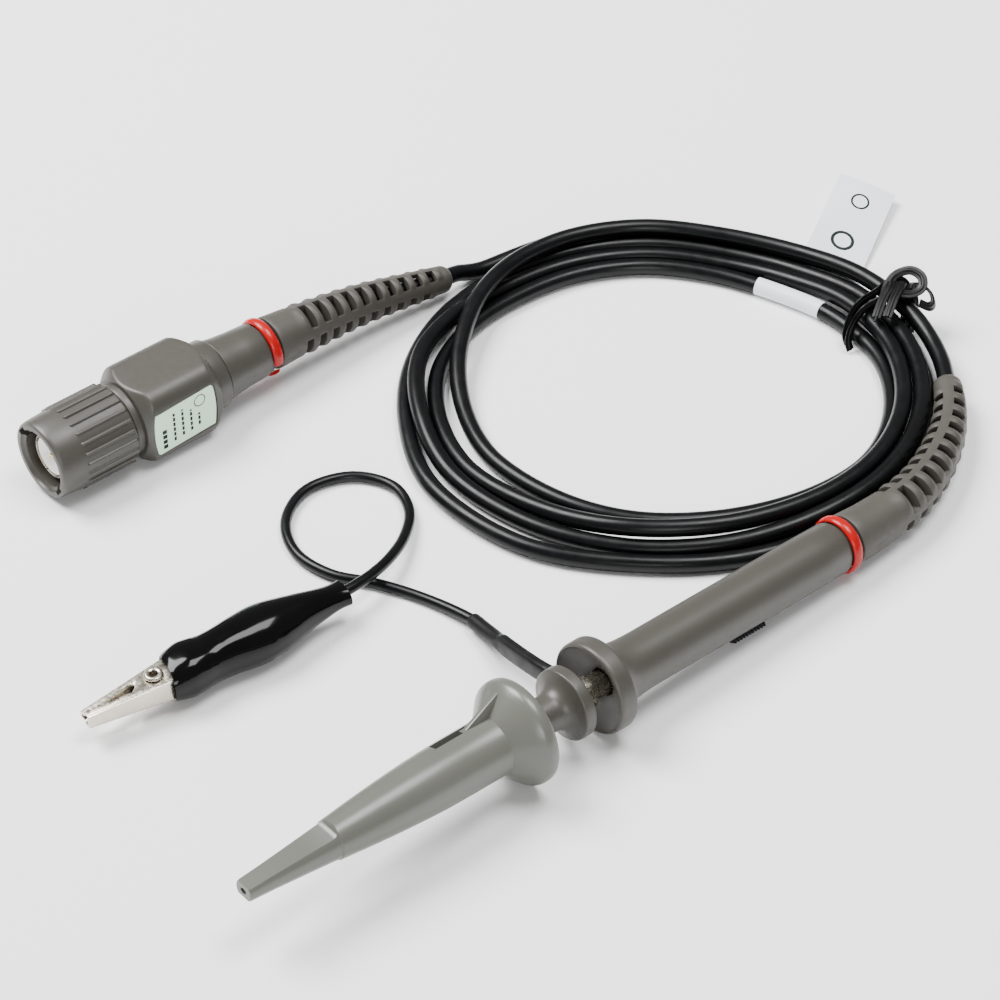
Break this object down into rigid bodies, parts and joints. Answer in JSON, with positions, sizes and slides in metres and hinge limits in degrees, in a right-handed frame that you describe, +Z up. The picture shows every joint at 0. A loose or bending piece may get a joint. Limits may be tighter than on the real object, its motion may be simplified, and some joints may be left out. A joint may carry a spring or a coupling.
{
  "type": "oscilloscope probe",
  "caption": "Passive oscilloscope probe with sprung hook tip, ground lead with alligator clip, BNC plug with compensation box and a coiled, tied coax cable.",
  "frame": {"origin": "on the floor under the middle of the probe head, from hook tip to the body end; the cable, plug and ground lead are left out of that box", "axes": "+X from the hook tip towards the cable, along the probe head; +Z up from the floor; +Y towards the coil and the BNC plug"},
  "size_m": [0.1968, 0.1129, 0.0169],
  "materials": {
    "sleeve_plastic": "semi-gloss moulded light grey",
    "grey_plastic": "fine-grained warm mid grey",
    "soft_grey": "soft moulded mid grey, matte",
    "red_plastic": "glossy moulded red",
    "coax_jacket": "satin black extruded jacket",
    "black_vinyl": "glossy dipped black vinyl",
    "black_plastic": "matte black",
    "nickel": "bright nickel plate",
    "steel": "spring steel",
    "gold": "gold plate",
    "brass": "bare brass",
    "white_plastic": "white insulator plastic",
    "white_vinyl": "smooth white label stock",
    "mint_label": "matte printed label",
    "circuit_board": "green solder mask",
    "ceramic": "tan dipped ceramic",
    "resistor_lacquer": "blue lacquer",
    "silicone": "red silicone"
  },
  "bodies": {
    "probe": {"ground_barrel": "nickel", "tip_insulator": "white_plastic", "tip_pin": "gold", "front_bushing": "black_plastic", "body_shell": "grey_plastic", "marker_ring_probe": "red_plastic", "probe_cable_ferrule": "brass", "hybrid_board": "circuit_board", "switch_frame": "steel", "tip_resistor": "resistor_lacquer", "tip_capacitor": "ceramic", "ground_ring_clip": "nickel", "probe_boot": "soft_grey", "bnc_boot": "soft_grey", "coax_coil": "coax_jacket", "coax_last_turn": "coax_jacket", "label_flag": "white_vinyl", "wire_tie": "black_plastic", "nut_retaining_ring": "steel", "bnc_body": "nickel", "bnc_gasket": "silicone", "bnc_insulator": "white_plastic", "bnc_pin": "gold", "box_shell": "grey_plastic", "box_label": "mint_label", "neck_sleeve": "grey_plastic", "marker_ring_bnc": "red_plastic", "comp_board": "circuit_board", "comp_resistor": "resistor_lacquer", "trimmer_body": "ceramic", "bnc_cable_ferrule": "brass", "ground_lead": "coax_jacket", "ground_shrink": "black_plastic", "clip_fixed_jaw": "nickel", "clip_rivet": "steel", "clip_spring": "steel", "clip_boot": "black_vinyl"},
    "hook_adapter": {"hook_core": "grey_plastic", "hook_socket": "brass", "hook_wire": "steel", "hook_spring": "steel"},
    "hook_sleeve": {"nose_sleeve": "sleeve_plastic"},
    "switch": {"switch_slider": "black_plastic"},
    "nut_washer": {"wave_washer": "steel"},
    "nut": {"coupling_nut": "grey_plastic"},
    "trimmer": {"trimmer_rotor": "brass"},
    "clip_jaw": {"clip_moving_jaw": "nickel"}
  },
  "joints": [
    {"name": "hook_pull_off", "type": "slide", "parent": "probe", "child": "hook_adapter", "axis": [-0.9987, 0, 0.0516], "range_m": [0, 0.025]},
    {"name": "hook_sleeve_slide", "type": "slide", "parent": "hook_adapter", "child": "hook_sleeve", "axis": [0.9987, 0, -0.0516], "range_m": [0, 0.0065], "stiffness_N_per_m": 300, "springref_m": -0.005, "deforming": ["hook_spring"]},
    {"name": "switch_slide", "type": "slide", "parent": "probe", "child": "switch", "axis": [0.9987, 0, -0.0516], "range_m": [0, 0.0022]},
    {"name": "nut_float", "type": "slide", "parent": "probe", "child": "nut_washer", "axis": [-1, 0, 0], "range_m": [0, 0.0007], "stiffness_N_per_m": 6000, "springref_m": -0.0003},
    {"name": "nut_turn", "type": "hinge", "parent": "nut_washer", "child": "nut", "pos_m": [-0.01856, 0.0973, 0.00733], "axis": [1, 0, 0], "continuous": true},
    {"name": "trimmer_turn", "type": "hinge", "parent": "probe", "child": "trimmer", "pos_m": [-0.00196, 0.1021, 0.00733], "axis": [0, 1, 0], "continuous": true},
    {"name": "clip_jaw_open", "type": "hinge", "parent": "probe", "child": "clip_jaw", "pos_m": [-0.04106, 0.0462, 0.00443], "axis": [0, 0, -1], "range_deg": [0, 20], "stiffness_Nm_per_rad": 0.03, "springref_deg": -34.38}
  ]
}
